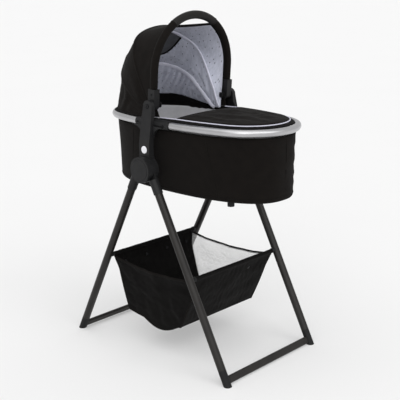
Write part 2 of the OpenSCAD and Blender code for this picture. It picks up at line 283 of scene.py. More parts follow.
def studio_paper():
    """Matt studio paper: an even pale floor with no shine."""
    material, tree, shader = start("studio_paper", Roughness=0.95, Specular_IOR_Level=0.1,
                                   Emission_Color=(1, 1, 1, 1), Emission_Strength=0.25)
    tone = two_tone(tree, speckle(tree, place(tree), 900), "#c7c7c7", "#c9c9c9")
    tree.links.new(tone, shader.inputs["Base Color"])
    return material


def powder_coated_tube():
    """Powder-coated steel tube: warm charcoal satin with a faint orange peel."""
    material, tree, shader = start("powder_coated_tube", Metallic=0.15, IOR=1.45,
                                   Specular_IOR_Level=0.3, Coat_Weight=0.1, Coat_Roughness=0.25)
    spot = place(tree)
    # Orange peel is about 1 mm wide, drawn at 2 mm so that it shows.
    peel = speckle(tree, spot, 2, 3)
    cloudy = speckle(tree, spot, 60)
    coat(tree, shader, two_tone(tree, cloudy, "#1d1b1a", "#242220", 0.35, 0.65),
         span(tree, peel, 0.36, 0.5))
    relief(tree, shader, peel, 0.06, 0.35)
    return material


def moulded_polyamide(name, dark, light, rough=0.5):
    """Glass-filled polyamide from a spark-eroded mould: dark, even and finely grained."""
    material, tree, shader = start(name, IOR=1.5, Specular_IOR_Level=0.22)
    spot = place(tree)
    # Spark texture is about 0.1 mm, drawn at 0.9 mm so that it shows.
    grain = speckle(tree, spot, 0.9, 4, 0.6)
    flow = speckle(tree, spot, 35, 1)
    coat(tree, shader, two_tone(tree, flow, dark, light, 0.3, 0.7),
         span(tree, grain, rough - 0.08, rough + 0.1))
    relief(tree, shader, grain, 0.05, 0.5)
    return material


def foot_rubber():
    """Moulded thermoplastic rubber: dead matt, with floor dust in its grain."""
    material, tree, shader = start("foot_rubber", IOR=1.5, Specular_IOR_Level=0.3)
    grain = speckle(tree, place(tree), 1.5, 5, 0.7)
    coat(tree, shader, two_tone(tree, grain, "#161616", "#262524", 0.4, 0.75), span(tree, grain, 0.8, 0.95))
    relief(tree, shader, grain, 0.1, 0.6)
    return material


def anodised_aluminium():
    """Satin anodised aluminium tube, brushed round before it was dyed: soft long highlights."""
    material, tree, shader = start("anodised_aluminium", Metallic=1.0)
    spot = place(tree)
    # Brush lines are about 0.2 mm apart, drawn at 1.2 mm so that they show.
    stretched = add(tree, "ShaderNodeMapping", {"Vector": spot, "Scale": (0.08, 0.08, 1)}).outputs[0]
    brushed = speckle(tree, stretched, 1.2, 3, 0.6)
    tarnish = speckle(tree, spot, 90, 2)
    coat(tree, shader, two_tone(tree, tarnish, "#b2b2b4", "#c0c0c2", 0.3, 0.7),
         span(tree, brushed, 0.3, 0.42))
    relief(tree, shader, brushed, 0.02, 0.35)
    return material


def blackened_steel():
    """Oil-blackened steel: dark and slightly shiny, brighter where it is rubbed."""
    material, tree, shader = start("blackened_steel", Metallic=1.0)
    rub = speckle(tree, place(tree), 3, 4, 0.6)
    coat(tree, shader, two_tone(tree, rub, "#1f1f20", "#3d3d40", 0.45, 0.8), span(tree, rub, 0.32, 0.55))
    return material


def gloss_abs_button():
    """Injection-moulded white ABS, polished mould: cool white gloss with a faint sink."""
    material, tree, shader = start("gloss_abs_button", IOR=1.54, Coat_Weight=0.3, Coat_Roughness=0.08)
    sink = speckle(tree, place(tree), 9, 1)
    coat(tree, shader, two_tone(tree, sink, "#e4e4ea", "#f0f0f5", 0.35, 0.7), span(tree, sink, 0.16, 0.24))
    relief(tree, shader, sink, 0.2, 0.2)
    return material


def weave(tree, spot, thread_mm):
    """Height of a plain weave on the cloth's own map, from two crossed thread waves."""
    threads = [add(tree, "ShaderNodeTexWave",
                   {"Vector": spot, "Scale": wave_scale(thread_mm), "Distortion": 0.6,
                    "Detail": 1.0, "Detail Scale": 2.0},
                   bands_direction=direction).outputs["Fac"] for direction in ("X", "Y")]
    return calc(tree, "MULTIPLY", threads[0], threads[1])


def woven_cloth(name, dark, light, thread_mm=1.6, sheen=0.03, rough=0.86, slub_mm=25):
    """Woven cloth: crossed threads, uneven dyeing and a soft rim of fuzz."""
    material, tree, shader = start(name, Sheen_Weight=sheen, Sheen_Roughness=0.5,
                                   Specular_IOR_Level=0.05, IOR=1.46)
    spot = place(tree, "UV")
    # Threads are about 0.4 mm apart and are drawn coarser so that they show.
    cloth = weave(tree, spot, thread_mm)
    slub = speckle(tree, spot, slub_mm, 3)
    shade = calc(tree, "ADD", calc(tree, "MULTIPLY", cloth, 0.5), calc(tree, "MULTIPLY", slub, 0.6))
    coat(tree, shader, two_tone(tree, shade, dark, light, 0.15, 0.85),
         span(tree, cloth, rough, rough + 0.1))
    soft = relief(tree, shader, slub, 1.2, 0.25)
    relief(tree, shader, cloth, 0.25, 0.5, soft)
    return material


def printed_jersey():
    """Cotton jersey printed with small dark dots: cool grey, with fine ribs of knitting."""
    material, tree, shader = start("printed_jersey", Sheen_Weight=0.1, Sheen_Roughness=0.5,
                                   Specular_IOR_Level=0.2)
    spot = place(tree, "UV")
    # Knitted ribs are about 1 mm apart, drawn at 2.2 mm so that they show.
    ribs = add(tree, "ShaderNodeTexWave", {"Vector": spot, "Scale": wave_scale(2.2), "Distortion": 1.5,
                                           "Detail": 1.0}, bands_direction="X").outputs["Fac"]
    heather = speckle(tree, spot, 12, 4, 0.65)
    ground = two_tone(tree, heather, "#a6a9b6", "#c0c2cf", 0.3, 0.7)
    dots = add(tree, "ShaderNodeTexVoronoi", {"Vector": spot, "Scale": scale_of(30), "Randomness": 0.7},
               voronoi_dimensions="2D").outputs["Distance"]
    printed = calc(tree, "LESS_THAN", dots, 0.07)
    coat(tree, shader, mix(tree, printed, ground, "#33343b"), span(tree, heather, 0.82, 0.95))
    relief(tree, shader, ribs, 0.2, 0.35)
    return material


def stitched_leatherette():
    """Embossed polyurethane leatherette: black pebble grain, shiny on its tops."""
    material, tree, shader = start("stitched_leatherette", IOR=1.5, Specular_IOR_Level=0.2,
                                   Coat_Weight=0.04, Coat_Roughness=0.4)
    spot = place(tree)
    # Pebbles are about 1 mm wide, drawn at 2.4 mm so that they show.
    pebble = add(tree, "ShaderNodeTexVoronoi", {"Vector": spot, "Scale": scale_of(2.4)},
                 feature="DISTANCE_TO_EDGE").outputs["Distance"]
    tops = calc(tree, "MULTIPLY", pebble, 3.0, True)
    coat(tree, shader, two_tone(tree, tops, "#0f0d0c", "#1a1816"), span(tree, tops, 0.62, 0.48))
    relief(tree, shader, tops, 0.25, 0.5)
    return material


def open_net(name, thread, thread_mm, gaps):
    """Warp-knitted polyester net: light threads with round holes, seen through in part."""
    material, tree, shader = start(name, Roughness=0.7, Specular_IOR_Level=0.2)
    spot = place(tree, "UV")
    cells = add(tree, "ShaderNodeTexVoronoi",
                {"Vector": spot, "Scale": scale_of(thread_mm), "Randomness": 0.15},
                voronoi_dimensions="2D").outputs["Distance"]
    hole = calc(tree, "LESS_THAN", cells, gaps)
    tone = two_tone(tree, cells, thread[0], thread[1], 0.2, 0.6)
    tree.links.new(tone, shader.inputs["Base Color"])
    tree.links.new(calc(tree, "SUBTRACT", 0.78, calc(tree, "MULTIPLY", hole, 0.68)), shader.inputs["Alpha"])
    relief(tree, shader, cells, 0.3, 0.5)
    return material


# ---- working on meshes ----


def pick(obj):
    """Makes one object the only selected and active one."""
    bpy.ops.object.select_all(action="DESELECT")
    obj.select_set(True)
    bpy.context.view_layer.objects.active = obj


def apply_modifiers(obj):
    pick(obj)
    for modifier in list(obj.modifiers):
        bpy.ops.object.modifier_apply(modifier=modifier.name)


def paint(obj, material):
    obj.data.materials.clear()
    obj.data.materials.append(material)
    return obj


def stand_for(obj, *nodes):
    """The piece rides with the nodes' body and is shown in their place."""
    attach(obj, frame["nodes"][nodes[0]]["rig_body"])
    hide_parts(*nodes)
    return obj


def softened(node, edge_mm, material):
    """Copy of a moulded node with its edges rounded, as they leave the mould."""
    piece = link(bpy.data.objects.new(node + "_moulding", frame["nodes"][node].data.copy()))
    paint(piece, material)
    pick(piece)
    bpy.ops.object.mode_set(mode="EDIT")
    bpy.ops.mesh.select_all(action="SELECT")
    bpy.ops.mesh.remove_doubles(threshold=SAME_POINT)
    bpy.ops.mesh.dissolve_limited(angle_limit=math.radians(1))
    bpy.ops.mesh.customdata_custom_splitnormals_clear()
    bpy.ops.object.mode_set(mode="OBJECT")
    bevel = piece.modifiers.new("edge", "BEVEL")
    bevel.width = edge_mm * MM
    bevel.segments = 3
    bevel.limit_method = "ANGLE"
    bevel.angle_limit = math.radians(38)
    apply_modifiers(piece)
    bpy.ops.object.shade_smooth_by_angle(angle=math.radians(40))
    weighted = piece.modifiers.new("flat_faces", "WEIGHTED_NORMAL")
    weighted.keep_sharp = True
    apply_modifiers(piece)
    return stand_for(piece, node)


def settle(piece, body):
    """The piece rides with a body."""
    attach(piece, body)


def lengths(points, closed=False):
    """Distance along a row of points to each of them."""
    ring = points + points[:1] if closed else points
    done = [0.0]
    for a, b in zip(ring, ring[1:]):
        done.append(done[-1] + (b - a).length)
    return done


def resample(points, count):
    """Points at even steps along a line."""
    done = lengths(points)
    made, k = [], 0
    for i in range(count):
        want = done[-1] * i / (count - 1)
        while k < len(done) - 2 and done[k + 1] < want:
            k += 1
        share = (want - done[k]) / max(done[k + 1] - done[k], 1e-9)
        made.append(points[k].lerp(points[k + 1], share))
    return made


def face_away(mesh, inside):
    """Turns the faces so that they look away from a point inside."""
    lean = sum((Vector(p.center) - inside).dot(p.normal) * p.area for p in mesh.polygons)
    if lean < 0:
        mesh.flip_normals()


def mapped_piece(name, points, faces, spots, material, inside=None):
    """Mesh piece with a map in metres; its faces look away from the point inside, if one is given."""
    mesh = bpy.data.meshes.new(name)
    mesh.from_pydata(points, [], faces)
    cloth_map = mesh.uv_layers.new(name="cloth")
    for loop, spot in zip(cloth_map.data, spots):
        loop.uv = spot
    mesh.shade_smooth()
    if inside is not None:
        face_away(mesh, inside)
    return paint(link(bpy.data.objects.new(name, mesh)), material)


def cloth_mesh(name, rows, material, closed=False, inside=None, thick=CLOTH):
    """Sheet through rows of points, with a map in metres along the cloth, given a thickness inwards."""
    count = len(rows[0])
    columns = count if closed else count - 1
    along = [lengths(row, closed) for row in rows]
    across = [lengths([row[i] for row in rows]) for i in range(count)]
    faces, spots = [], []
    for j in range(len(rows) - 1):
        for i in range(columns):
            k = (i + 1) % count
            faces.append((j * count + i, j * count + k, (j + 1) * count + k, (j + 1) * count + i))
            spots += [(along[j][i], across[i][j]), (along[j][i + 1], across[k][j]),
                      (along[j + 1][i + 1], across[k][j + 1]), (along[j + 1][i], across[i][j + 1])]
    piece = mapped_piece(name, [p for row in rows for p in row], faces, spots, material, inside)
    wall = piece.modifiers.new("thickness", "SOLIDIFY")
    wall.thickness = thick
    wall.offset = -1
    apply_modifiers(piece)
    return piece


def ring_section(radius_at, sides):
    """Closed section whose radius may change with the angle."""
    angles = [math.tau * k / sides for k in range(sides)]
    return [(radius_at(angle) * math.cos(angle), radius_at(angle) * math.sin(angle)) for angle in angles]


def oval_section(width, height, sides=12):
    return [(width / 2 * math.cos(math.tau * i / sides), height / 2 * math.sin(math.tau * i / sides))
            for i in range(sides)]


def sweep(name, path, section, outs, material, closed=False):
    """Solid made by carrying a section along a path. outs is the direction of the section's height."""
    count = len(path)
    sides = len(section(0)) if callable(section) else len(section)
    outs = outs if isinstance(outs, list) else [outs] * count
    points = []
    for i, p in enumerate(path):
        after = path[(i + 1) % count] if closed or i < count - 1 else p
        before = path[i - 1] if closed or i > 0 else p
        side = (after - before).cross(outs[i]).normalized()
        out = side.cross(after - before).normalized()
        shape = section(i / (count - 1)) if callable(section) else section
        points += [p + side * a + out * b for a, b in shape]
    done = lengths(path, closed)
    first_ring = section(0) if callable(section) else section
    round_it = lengths([Vector((a, b, 0)) for a, b in first_ring], True)
    faces, spots = [], []
    for i in range(count if closed else count - 1):
        for s in range(sides):
            a, b = i * sides, ((i + 1) % count) * sides
            n = (s + 1) % sides
            faces.append((a + s, a + n, b + n, b + s))
            spots += [(done[i], round_it[s]), (done[i], round_it[s + 1]),
                      (done[i + 1], round_it[s + 1]), (done[i + 1], round_it[s])]
    if not closed:
        for ring in (list(range(sides)), [(count - 1) * sides + s for s in range(sides)][::-1]):
            faces.append(tuple(ring))
            spots += [(0.0, round_it[s]) for s in range(sides)]
    piece = mapped_piece(name, points, faces, spots, material)
    tidy_normals(piece)
    return piece


def tidy_normals(piece):
    work = bmesh.new()
    work.from_mesh(piece.data)
    bmesh.ops.recalc_face_normals(work, faces=work.faces)
    work.to_mesh(piece.data)
    work.free()


def crumple(p, grain_mm, height_mm, seed=0.0):
    """Signed height of soft random creases at a point."""
    spot = p * scale_of(grain_mm) + Vector((seed, seed * 1.7, seed * 0.6))
    return noise.noise(spot) * height_mm * MM


def ease(x):
    """0 below 0, 1 above 1, smooth between."""
    x = min(1.0, max(0.0, x))
    return x * x * (3 - 2 * x)


def hump(s):
    """0 at both ends and 1 in the middle."""
    return 4 * s * (1 - s)


# ---- shapes of the carrycot ----

def rim_point(share, inset, z):
    """Point on the rim's centre line moved inwards, by its share of the way round from the foot end."""
    end_turn = math.pi / 2 - SIDE_TURN
    end_len = 2 * end_turn * (RIM_END_R - inset)
    side_len = 2 * SIDE_TURN * (SIDE_R - inset)
    run = (share % 1.0) * 2 * (end_len + side_len) + end_len / 2
    half_way = end_len + side_len
    flip = -1 if run % (2 * half_way) >= half_way else 1
    run = run % half_way
    if run < end_len:
        turn = -end_turn + run / (RIM_END_R - inset)
        x = END_C + (RIM_END_R - inset) * math.cos(turn)
        y = (RIM_END_R - inset) * math.sin(turn)
    else:
        turn = math.pi / 2 - SIDE_TURN + (run - end_len) / (SIDE_R - inset)
        x = (SIDE_R - inset) * math.cos(turn)
        y = (SIDE_R - inset) * math.sin(turn) - SIDE_C
    return Vector((COT_X + flip * x, flip * y, z))


def rim_curve(inset, z, count):
    return [rim_point(i / count, inset, z) for i in range(count)]


def rim_stretch(inset, z, x_start, head_end, count):
    """Stretch of the inset rim line beyond x_start, from the near side round an end to the far side."""
    fine = 720
    ring = [rim_point(i / fine + (0.0 if head_end else 0.5), inset, z) for i in range(fine)]
    kept = [p for p in ring if (p.x < x_start if head_end else p.x > x_start)]
    kept.sort(key=lambda p: math.atan2(p.y, -(p.x - COT_X) if head_end else p.x - COT_X))
    return resample(kept, count)


def tub_point(turn, a, b, z):
    """Point on the tub's rounded oval."""
    c, s = math.cos(turn), math.sin(turn)
    power = 2 / TUB_POWER
    return Vector((COT_X + a * math.copysign(abs(c) ** power, c), b * math.copysign(abs(s) ** power, s), z))


def tub_outer(z):
    """Half length and half width of the tub's cloth at a height."""
    share = (z - TUB_LOW) / (TUB_HIGH - TUB_LOW)
    curl = 5 * MM * (1 - min(1, (z - TUB_LOW) / (9 * MM))) ** 2
    return TUB_A - 2 * MM * (1 - share) - curl, TUB_B - 17 * MM * (1 - share) - curl


def tub_skin_point(x, side, z, out=0.0):
    """Point on the tub's long side at a given place along the cot."""
    a, b = tub_outer(z)
    reach = max(0.0, 1 - abs((x - COT_X) / a) ** TUB_POWER)
    return Vector((x, side * (b * reach ** (1 / TUB_POWER) + out), z))


def make_tub(cloth):
    """Outer cover of the tub: tight cloth with a few pulls at the foot end and a rolled lower edge."""
    levels = [TUB_LOW + (TUB_HIGH - TUB_LOW) * (j / 30) ** 1.25 for j in range(31)]
    rows = []
    for z in levels:
        a, b = tub_outer(z)
        row = []
        for i in range(300):
            p = tub_point(math.tau * i / 300, a, b, z)
            up = (z - TUB_LOW) / (TUB_HIGH - TUB_LOW)
            pulled = hump(up) * ease((p.x - 0.3) / 0.1)
            flat = Vector((p.x - COT_X, p.y, 0)).normalized()
            stretched = Vector((p.x, p.y, p.z * 3.2 + p.y * 1.2))
            out = crumple(stretched, 70, 4.5, 3.0) * pulled + crumple(p, 120, 1.6, 8.0) * hump(up)
            row.append(p + flat * (out - 1.5 * MM * hump(up)))
        rows.append(row)
    under = [p.lerp(Vector((COT_X, 0, TUB_LOW)), 0.06) - Vector((0, 0, 0.4 * MM)) for p in rows[0]]
    tub = cloth_mesh("tub_cover", [under] + rows, cloth, True, Vector((COT_X, 0, 0.8)))
    stand_for(tub, "tub_wall")
    return tub


def surface_strip(name, path, outs, width_mm, thick_mm, material, body):
    """Flat sewn strip that lies on a surface."""
    strip = sweep(name, path, oval_section(width_mm * MM, thick_mm * MM, 8), outs, material)
    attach(strip, body)
    return strip


def make_tub_seams(tape):
    """Felled seams of the tub: a slanted one on each long side, one down each end, one round the foot."""
    heights = [TUB_LOW + 8 * MM + (TUB_HIGH - TUB_LOW - 10 * MM) * j / 24 for j in range(25)]
    for side, place_name in ((-1, "near"), (1, "far")):
        for end, x_top, x_low in (("foot", 0.229, 0.265), ("head", -0.16, -0.195)):
            path = [tub_skin_point(x_low + (x_top - x_low) * ease((z - TUB_LOW) / 0.24), side, z, -0.4 * MM)
                    for z in heights]
            outs = [Vector((0.35 * math.copysign(1, x_top - COT_X), side, 0)).normalized()] * len(path)
            surface_strip(f"tub_seam_{end}_{place_name}", path, outs, 3.4, 1.4, tape, "carrycot")
    for end, way in (("foot", 1), ("head", -1)):
        path = []
        for z in heights:
            a, b = tub_outer(z)
            path.append(Vector((COT_X + way * (a - 0.6 * MM), 12 * MM, z)))
        surface_strip(f"tub_seam_{end}_end", path, Vector((way, 0, 0)), 5, 1.6, tape, "carrycot")
    ring = []
    for i in range(220):
        a, b = tub_outer(TUB_LOW + 15 * MM)
        ring.append(tub_point(math.tau * i / 220, a + 0.2 * MM, b + 0.2 * MM, TUB_LOW + 14 * MM))
    outs = [Vector((p.x - COT_X, p.y * 3, 0)).normalized() for p in ring]
    piping = sweep("tub_lower_seam", ring, oval_section(3 * MM, 1.6 * MM, 8), outs, tape, True)
    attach(piping, "carrycot")


def make_rim_hem(elastic):
    """Elasticated edge of the tub's cover, pulled over the inside of the rim tube."""
    rows = []
    for inset, z in ((11.0, 11.5), (14, 14.5), (18, 16), (23, 15), (27, 9), (28.5, 4), (29, 0)):
        row = rim_curve(inset * MM, RIM_Z + z * MM, 420)
        gather = [0.9 * MM * math.sin(math.tau * i * 60 / 420) + crumple(p, 25, 1.2)
                  for i, p in enumerate(row)]
        share = ease((inset - 11) / 8)
        rows.append([p + Vector((0, 0, g * share)) for p, g in zip(row, gather)])
    hem = cloth_mesh("rim_hem", rows, elastic, True, Vector((COT_X, 0, RIM_Z - 0.05)), 1.2 * MM)
    settle(hem, "carrycot")


def make_liner(jersey):
    """Washable lining of the tub, loose enough to fold a little."""
    low, high = TUB_LOW + 8 * MM, RIM_Z + 3 * MM
    rows = []
    for j in range(25):
        share = j / 24
        z = low + (high - low) * share
        row = []
        for i in range(260):
            p = tub_point(math.tau * i / 260, LINER_A - 0.004 * hump(share), LINER_LOW_B + 0.013 * share, z)
            folded = Vector((p.x, p.y, p.z * 0.25))
            flat = Vector((p.x - COT_X, p.y, 0)).normalized()
            fold = abs(crumple(folded, 38, 5, 5.0)) + crumple(p, 90, 2, 2.0)
            row.append(p - flat * fold * (0.35 + 0.65 * hump(share)))
        rows.append(row)
    floor = [p.lerp(Vector((COT_X, 0, low)), 0.25) for p in rows[0]]
    liner = cloth_mesh("tub_lining", [floor] + rows, jersey, True, Vector((COT_X, 0, 2.0)))
    stand_for(liner, "liner")


def remeshed(piece, voxel_mm):
    remesh = piece.modifiers.new("remesh", "REMESH")
    remesh.mode = "VOXEL"
    remesh.voxel_size = voxel_mm * MM
    apply_modifiers(piece)


def swell(piece, pressure, cap_mm, voxel_mm):
    """Swells a closed pad like a stuffed cover, with each point's travel capped."""
    remeshed(piece, voxel_mm)
    rest = [v.co.copy() for v in piece.data.vertices]
    cloth = piece.modifiers.new("cloth", "CLOTH")
    cloth.settings.quality = 5
    cloth.settings.use_pressure = True
    cloth.settings.uniform_pressure_force = pressure
    cloth.settings.effector_weights.gravity = 0
    cloth.point_cache.frame_start = 1
    cloth.point_cache.frame_end = 20
    for number in range(1, 21):
        bpy.context.scene.frame_set(number)
    puffed = piece.evaluated_get(bpy.context.evaluated_depsgraph_get()).data
    moved = [v.co.copy() for v in puffed.vertices]
    piece.modifiers.clear()
    for vertex, a, b in zip(piece.data.vertices, rest, moved):
        step = b - a
        step.length = min(step.length, cap_mm * MM)
        vertex.co = a + step
    bpy.context.scene.frame_set(1)


def make_mattress(cover):
    """Foam mattress in a quilted cover."""
    piece = link(bpy.data.objects.new("mattress_pad", frame["nodes"]["mattress"].data.copy()))
    paint(piece, cover)
    pick(piece)
    bpy.ops.object.mode_set(mode="EDIT")
    bpy.ops.mesh.select_all(action="SELECT")
    bpy.ops.mesh.remove_doubles(threshold=SAME_POINT)
    bpy.ops.object.mode_set(mode="OBJECT")
    centre = middle("mattress")
    for vertex in piece.data.vertices:
        vertex.co = centre + (vertex.co - centre) * 0.975
    swell(piece, 4, 6, 6)
    top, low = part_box("mattress")[1].z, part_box("mattress")[0].z
    for vertex in piece.data.vertices:
        p = vertex.co
        lift = ease((p.z - low) / (top - low))
        quilt = abs(math.sin((p.x + p.y) * QUILT_TURNS)) * abs(math.sin((p.x - p.y) * QUILT_TURNS))
        vertex.co.z += lift * (2.5 * MM * quilt ** 0.4 - 2 * MM)
        vertex.co.z = max(vertex.co.z, low + 0.3 * MM)
    smooth = piece.modifiers.new("smooth", "SUBSURF")
    smooth.levels = smooth.render_levels = 1
    apply_modifiers(piece)
    piece.data.shade_smooth()
    stand_for(piece, "mattress")
    return piece


APRON_INSET = 28 * MM
APRON_Z = RIM_TOP + 8 * MM
APRON_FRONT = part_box("apron")[0].x


def apron_outline(count):
    """Line of the apron's piping, from the near corner round the foot end to the far corner."""
    line = rim_stretch(APRON_INSET, APRON_Z, -18 * MM, False, count)
    low = [p.z for p in line]
    for i, p in enumerate(line):
        ahead = ease((p.x - PIVOT.x) / 0.12)
        p.z = low[i] - 3 * MM * (1 - ahead)
    return line


def make_apron(cloth, elastic, cord):
    """Foot cover: domed cloth inside a piped seam, with an elasticated skirt down to the rim."""
    line = apron_outline(240)
    front = [p for p in line if p.x > APRON_FRONT]
    near, far = front[0], front[-1]
    edge = []
    for i in range(1, 48):
        share = i / 48
        bow = -14 * MM * hump(share)
        p = far.lerp(near, share)
        edge.append(p + Vector((bow, 0, 6 * MM * hump(share) ** 0.7)))
    outline = front + edge
    centre = Vector((APRON_MID_X, 0, APRON_Z))
    rows = []
    for j in range(31):
        share = (j / 30) ** 0.85
        row = []
        for p in outline:
            q = p.lerp(centre, share)
            rise = 4.5 * MM * ease(share / 0.07) + 9 * MM * (1 - (1 - share) ** 2.2)
            creases = crumple(Vector((q.x * 0.6, q.y * 1.6, 0)), 60, 6, 4.0) + crumple(q, 25, 1.5, 6.0)
            row.append(q + Vector((0, 0, rise + creases * ease(share * 2.5))))
        rows.append(row)
    cover = cloth_mesh("apron_cover", rows, cloth, True, Vector((APRON_MID_X, 0, RIM_Z - 0.3)), 2.2 * MM)
    close_middle(cover)
    stand_for(cover, "apron")
    up = Vector((0, 0, 1))
    piping = sweep("apron_piping", line, oval_section(4.4 * MM, 4.4 * MM), up, cord)
    settle(piping, "carrycot")
    rows = []
    for inset, drop in ((0, -1.0), (-5, -3.0), (-10, -6.5), (-14.5, -8.0), (-18, -9.5)):
        row = []
        for i, p in enumerate(line):
            flat = Vector(((p.x - COT_X) * 0.55, p.y, 0)).normalized()
            gather = 0.8 * MM * math.sin(i * 1.1) * min(1.0, -inset / 8)
            row.append(p - flat * inset * MM + Vector((0, 0, drop * MM + gather)))
        rows.append(row)
    skirt = cloth_mesh("apron_skirt", rows, elastic, False, Vector((COT_X, 0, 0.8)), 1.2 * MM)
    settle(skirt, "carrycot")
    hem = sweep("apron_front_hem", [near] + edge[::-1] + [far], oval_section(9 * MM, 4 * MM), up, elastic)
    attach(hem, "carrycot")


def close_middle(piece):
    """Closes the pinched middle of a domed cover."""
    work = bmesh.new()
    work.from_mesh(piece.data)
    bmesh.ops.remove_doubles(work, verts=work.verts, dist=0.05 * MM)
    bmesh.ops.recalc_face_normals(work, faces=work.faces)
    work.to_mesh(piece.data)
    work.free()
    piece.data.shade_smooth()


# ---- hood ----

HOOD_CORE = PIVOT + Vector((-95 * MM, 0, 30 * MM))
RIB_POINTS = 121


def turned(y, along, turn):
    """Point at a distance from the pivot line, in the plane that leans back by an angle."""
    return Vector((PIVOT.x - along * math.sin(turn), y, PIVOT.z + along * math.cos(turn)))


def mirrored(points_mm, near_shift=(0, 0)):
    """Line over the hood from the near side to the far side, through points given for the far half."""
    far = [Vector(p) * MM for p in points_mm]
    near = [Vector((p.x, -p.y, p.z)) for p in far]
    shift = Vector((near_shift[0], near_shift[1], 0)) * MM
    near = [p + shift * ease((NEAR_TUCK_TOP - p.z) / NEAR_TUCK) for p in near]
    return resample(smooth_line(near + far[::-1][1:]), RIB_POINTS)


def smooth_line(points, steps=8):
    """Smooth curve through points."""
    made = []
    for i in range(len(points) - 1):
        a, b = points[max(i - 1, 0)], points[i]
        d, e = points[i + 1], points[min(i + 2, len(points) - 1)]
        for k in range(steps):
            t = k / steps
            made.append(0.5 * (2 * b + (d - a) * t + (2 * a - 5 * b + 4 * d - e) * t * t
                               + (3 * b - a - 3 * d + e) * t ** 3))
    return made + [points[-1]]


def front_line(side_in, top_drop, back, base):
    """Line of the hood's front edge: up the handle's legs, then straight across under the grip."""
    radius = ARCH_R - side_in
    top = PIVOT.z + 291 * MM - top_drop
    near = [turned(-radius, BLOCK_TOP * 0.7, -ARCH_LEAN)]
    for i in range(24):
        phi = math.radians(58) * i / 23
        p = turned(-radius * math.cos(phi), ARCH_LEG + radius * math.sin(phi), -ARCH_LEAN)
        if p.z < top:
            near.append(p)
    near = [base] + [p - Vector((back, 0, 0)) for p in near]
    corner = near[-1] + Vector((0, 6 * MM, 0))
    corner.z = top
    far = [Vector((p.x, -p.y, p.z)) for p in (near + [corner])[::-1]]
    return resample(near + [corner] + far, RIB_POINTS)


NEAR_TUCK = 0.07
NEAR_TUCK_TOP = RIM_TOP + 0.15
OUT_BASE_Z = RIM_TOP + 7 * MM
FRONT_OUT = front_line(4 * MM, 0, 9 * MM, Vector((-14 * MM, -187 * MM, OUT_BASE_Z)))
# Control points of the hood's seams and of its lining strips, in millimetres, far half only.
BOW_A_OUT = mirrored([(-50, 189, 955), (-79, 188, 1018), (-103, 188, 1068), (-127, 188, 1119),
                      (-149, 183, 1170), (-167, 166, 1216), (-178, 132, 1249), (-183, 76, 1270),
                      (-185, 0, 1279)])
BOW_B_OUT = mirrored([(-61, 189, 955), (-115, 188, 991), (-182, 184, 1036), (-232, 170, 1070),
                      (-270, 145, 1098), (-300, 106, 1120), (-319, 56, 1135), (-327, 0, 1141)])
HEM_OUT = rim_stretch(5 * MM, RIM_TOP + 3 * MM, PIVOT.x - 36 * MM, True, RIB_POINTS)
FRONT_IN = front_line(17 * MM, 9 * MM, 8 * MM, Vector((-38 * MM, -178 * MM, RIM_TOP)))
FRONT_IN = FRONT_IN[:-6] + resample([FRONT_IN[-7], Vector((-27 * MM, 168 * MM, RIM_TOP + 2 * MM))], 7)[1:]
BOW_A_IN = mirrored([(-28, 162, 950), (-35, 153, 985), (-43, 147, 1025), (-56, 145, 1056), (-70, 148, 1081),
                     (-87, 150, 1111), (-101, 150, 1137), (-120, 145, 1172), (-136, 129, 1201),
                     (-146, 109, 1219), (-155, 84, 1235), (-162, 62, 1247), (-167, 36, 1257),
                     (-171, 0, 1262)], (-15, -17))
BOW_B_IN = mirrored([(-48, 161, 950), (-66, 155, 962), (-86, 150, 984), (-101, 146, 1004),
                     (-131, 143, 1033), (-154, 141, 1055), (-185, 139, 1075), (-214, 136, 1088),
                     (-237, 126, 1099), (-255, 112, 1107), (-269, 91, 1114), (-280, 64, 1119),
                     (-286, 34, 1122), (-288, 0, 1123)], (-12, -17))


def band_top_line():
    """Top edge of the dark band inside the hood, which rises towards the head end."""
    line = rim_stretch(27 * MM, RIM_TOP + 2 * MM, PIVOT.x - 20 * MM, True, RIB_POINTS)
    for i, p in enumerate(line):
        share = i / (RIB_POINTS - 1)
        p.z += 36 * MM * ease(min(share * 1.6, 1 - share) / 0.3)
    return line


BAND_TOP = band_top_line()
HEM_IN = rim_stretch(24 * MM, RIM_TOP - 9 * MM, PIVOT.x - 20 * MM, True, RIB_POINTS)


def stretched_point(a, b, t, s, dip, folds, count, seed):
    """Point of a cloth panel between two lines, sagging inwards, with folds that run across."""
    at = t * (RIB_POINTS - 1)
    i = min(int(at), RIB_POINTS - 2)
    p = a[i].lerp(a[i + 1], at - i).lerp(b[i].lerp(b[i + 1], at - i), s)
    inward = (HOOD_CORE - p).normalized()
    open_side = ease(min(t, 1 - t) / 0.16)
    wave = 0.6 * math.sin(math.tau * count * t + 5 * noise.noise(Vector((t * 7, s * 1.5, seed))))
    wave += noise.noise(Vector((t * 2.2 * count, s * 2.5, seed)))
    wave += 0.5 * noise.noise(Vector((t * 9, s * 9, seed + 4)))
    return p + inward * (dip * hump(s) * (0.25 + 0.75 * open_side) + folds * wave * hump(s) ** 0.7)


def hood_panel(name, a, b, material, dip, folds, count, seed, steps=18, outwards=True):
    """Cloth panel of the hood between two lines; dip and folds are in millimetres."""
    columns = 3 * (RIB_POINTS - 1) + 1
    rows = [[stretched_point(a, b, i / (columns - 1), j / steps, dip * MM, folds * MM, count, seed)
             for i in range(columns)] for j in range(steps + 1)]
    panel = cloth_mesh(name, rows, material, False, HOOD_CORE, 1.3 * MM)
    return panel


def bend_panel(panel, nodes=()):
    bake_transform(panel)
    if nodes:
        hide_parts(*nodes)


